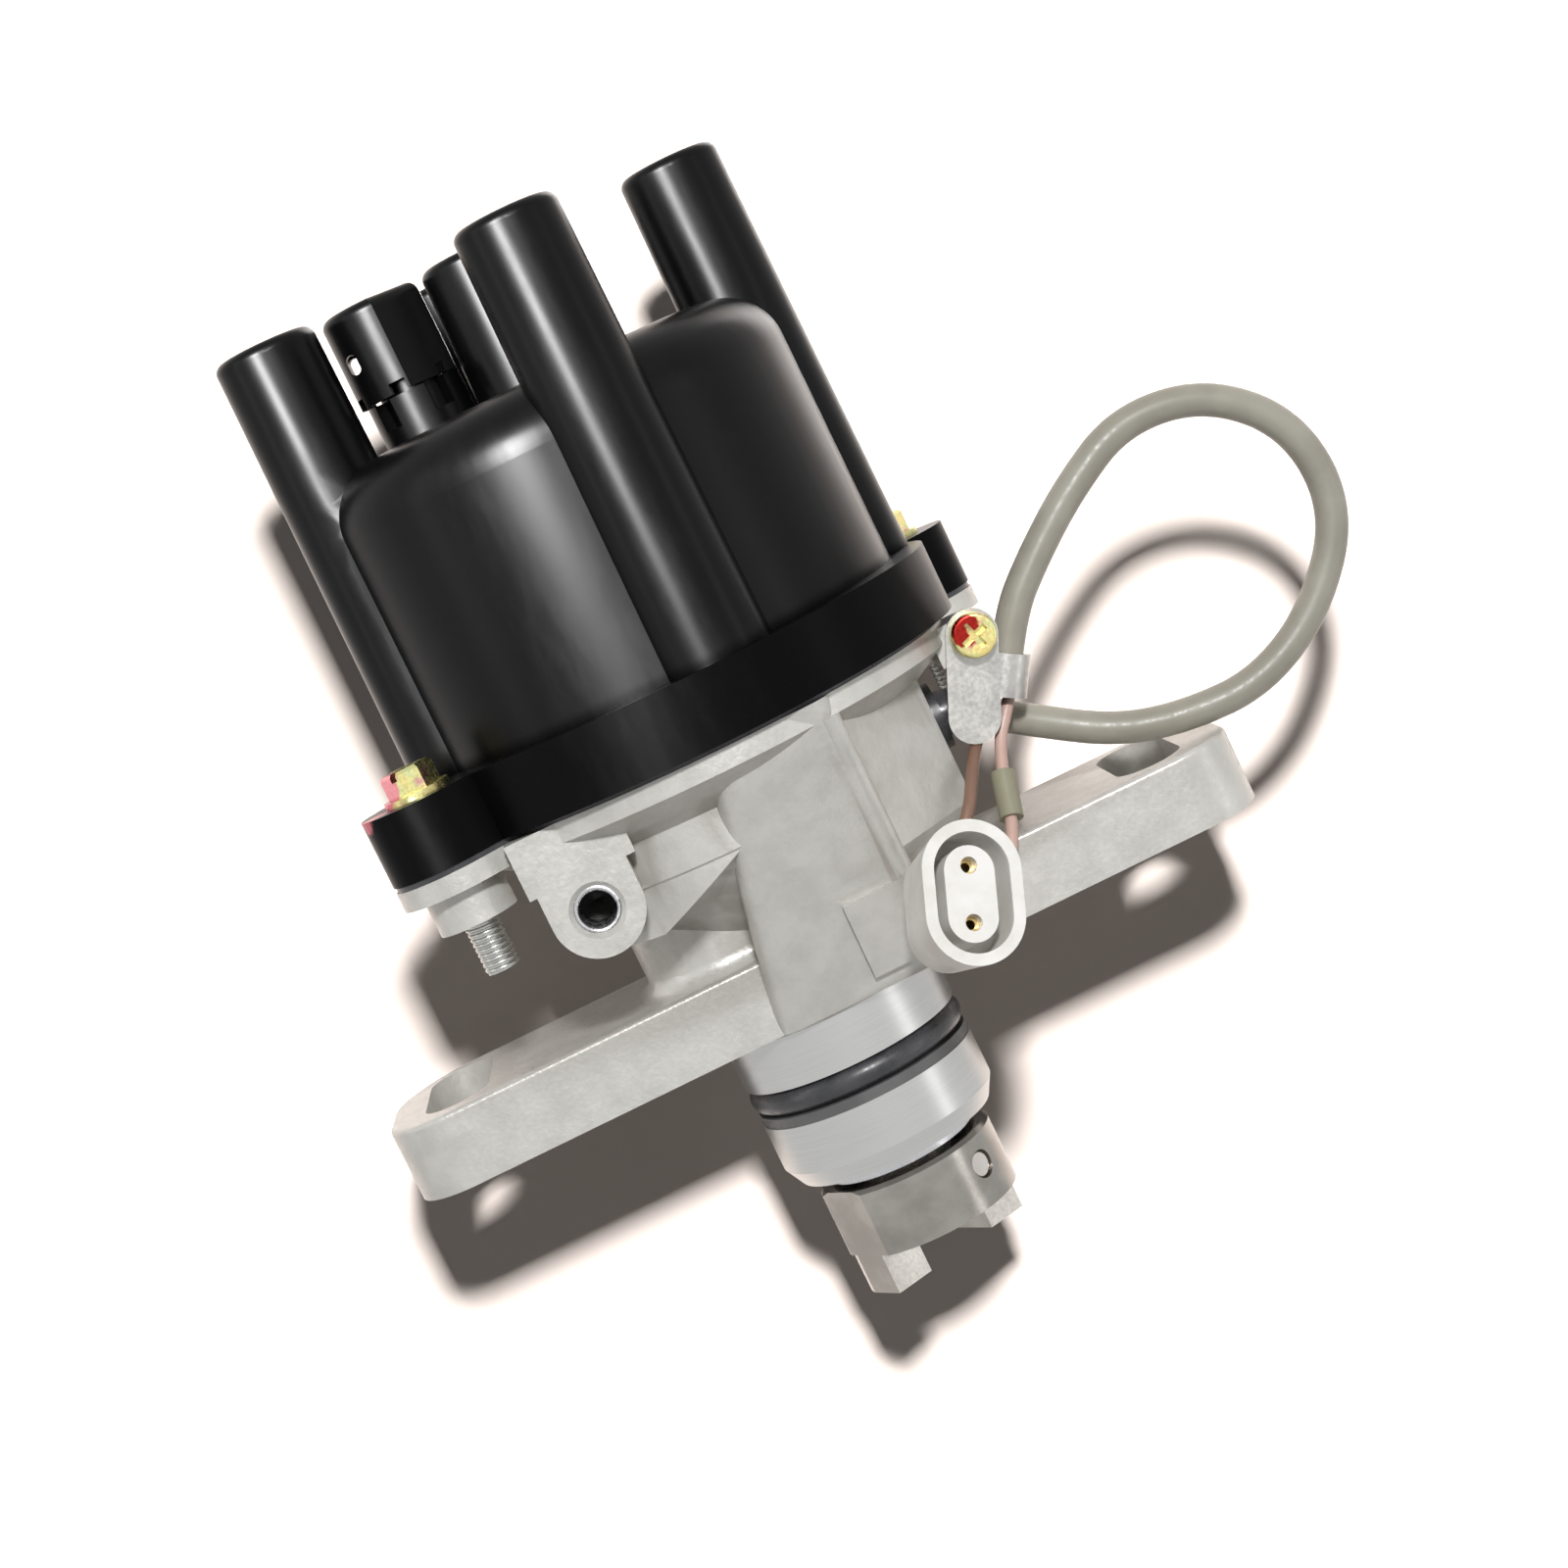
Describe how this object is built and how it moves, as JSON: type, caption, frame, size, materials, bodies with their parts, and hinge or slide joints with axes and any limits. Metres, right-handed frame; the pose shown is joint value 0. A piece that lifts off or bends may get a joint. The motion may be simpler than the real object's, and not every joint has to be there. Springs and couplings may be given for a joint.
{
  "type": "ignition distributor",
  "caption": "Ignition distributor with a black plug-tower cap, cast slotted-ear housing, sealed spigot, offset drive coupling and looped pick-up lead.",
  "frame": {"origin": "on the shaft axis, at the lower face of the ears that seats on the cylinder head", "axes": "+Z along the shaft towards the cap, +X along the ears to the lead's side, -Y to the tapped lug's face"},
  "size_m": [0.1701, 0.0929, 0.1683],
  "materials": {
    "cap_plastic": "glossy black moulded plastic",
    "terminal_metal": "turned brass",
    "carbon": "black carbon",
    "spring_steel": "spring steel",
    "black_rubber": "smooth black rubber",
    "cover_plastic": "matt dark plastic",
    "yellow_zinc": "yellow-passivated zinc plating",
    "cast_housing": "shot-blasted casting with machined spigot and faces",
    "machined_steel": "turned steel",
    "bearing_steel": "ground bearing steel",
    "cage_plastic": "natural nylon",
    "bush_bronze": "sintered bronze",
    "backup_ring_steel": "dull steel",
    "coupling_steel": "sintered steel, brownish grey",
    "pin_steel": "bright steel",
    "coil_winding": "wound coil under lacquer",
    "magnet_black": "ceramic magnet",
    "rotor_plastic": "moulded plastic",
    "clip_steel": "zinc-plated steel strip",
    "sleeve_vinyl": "satin grey-green vinyl",
    "brown_insulation": "brown insulation",
    "pink_insulation": "pink insulation",
    "olive_sleeve": "olive sleeve",
    "white_plastic": "white nylon"
  },
  "bodies": {
    "housing_body": {"distributor_cap": "cap_plastic", "vent_hood": "cap_plastic", "plug_terminals": "terminal_metal", "coil_terminal": "terminal_metal", "cap_seal": "black_rubber", "dust_cover": "cover_plastic", "cap_screws": "yellow_zinc", "housing": "cast_housing", "bearing_outer_race": "bearing_steel", "bearing_retainer": "machined_steel", "retainer_screws": "machined_steel", "lower_bush": "bush_bronze", "oil_seal": "black_rubber", "o_ring": "black_rubber", "backup_ring": "backup_ring_steel", "pickup_plate": "machined_steel", "pickup_screws": "machined_steel", "pickup_core": "machined_steel", "pickup_coil": "coil_winding", "pickup_magnet": "magnet_black", "grommet": "black_rubber", "lead_clip": "clip_steel", "clip_screw": "yellow_zinc", "lead_sleeve": "sleeve_vinyl", "brown_wire": "brown_insulation", "pink_wire": "pink_insulation", "wire_splice": "olive_sleeve", "connector_shell": "white_plastic", "connector_terminals": "terminal_metal"},
    "shaft_body": {"shaft": "machined_steel", "bearing_inner_race": "bearing_steel", "circlip": "spring_steel", "reluctor": "machined_steel", "rotor_arm": "rotor_plastic", "rotor_contact": "terminal_metal", "thrust_washer": "machined_steel", "drive_coupling": "coupling_steel", "coupling_pin": "pin_steel"},
    "bearing_cage_body": {"bearing_cage": "cage_plastic", "bearing_balls": "bearing_steel"},
    "brush_body": {"carbon_brush": "carbon", "brush_spring": "spring_steel"}
  },
  "joints": [
    {"name": "shaft_spin", "type": "hinge", "parent": "housing_body", "child": "shaft_body", "pos_m": [0, 0, 0], "axis": [0, 0, 1], "continuous": true},
    {"name": "cage_spin", "type": "hinge", "parent": "housing_body", "child": "bearing_cage_body", "pos_m": [0, 0, 0.022], "axis": [0, 0, 1], "continuous": true},
    {"name": "brush_slide", "type": "slide", "parent": "housing_body", "child": "brush_body", "axis": [0, 0, 1], "range_m": [0, 0.0015], "stiffness_N_per_m": 200, "springref_m": -0.002, "deforming": ["brush_spring"]}
  ],
  "couplings": [
    {"joint": "cage_spin", "follows": "shaft_spin", "ratio": 0.372}
  ]
}
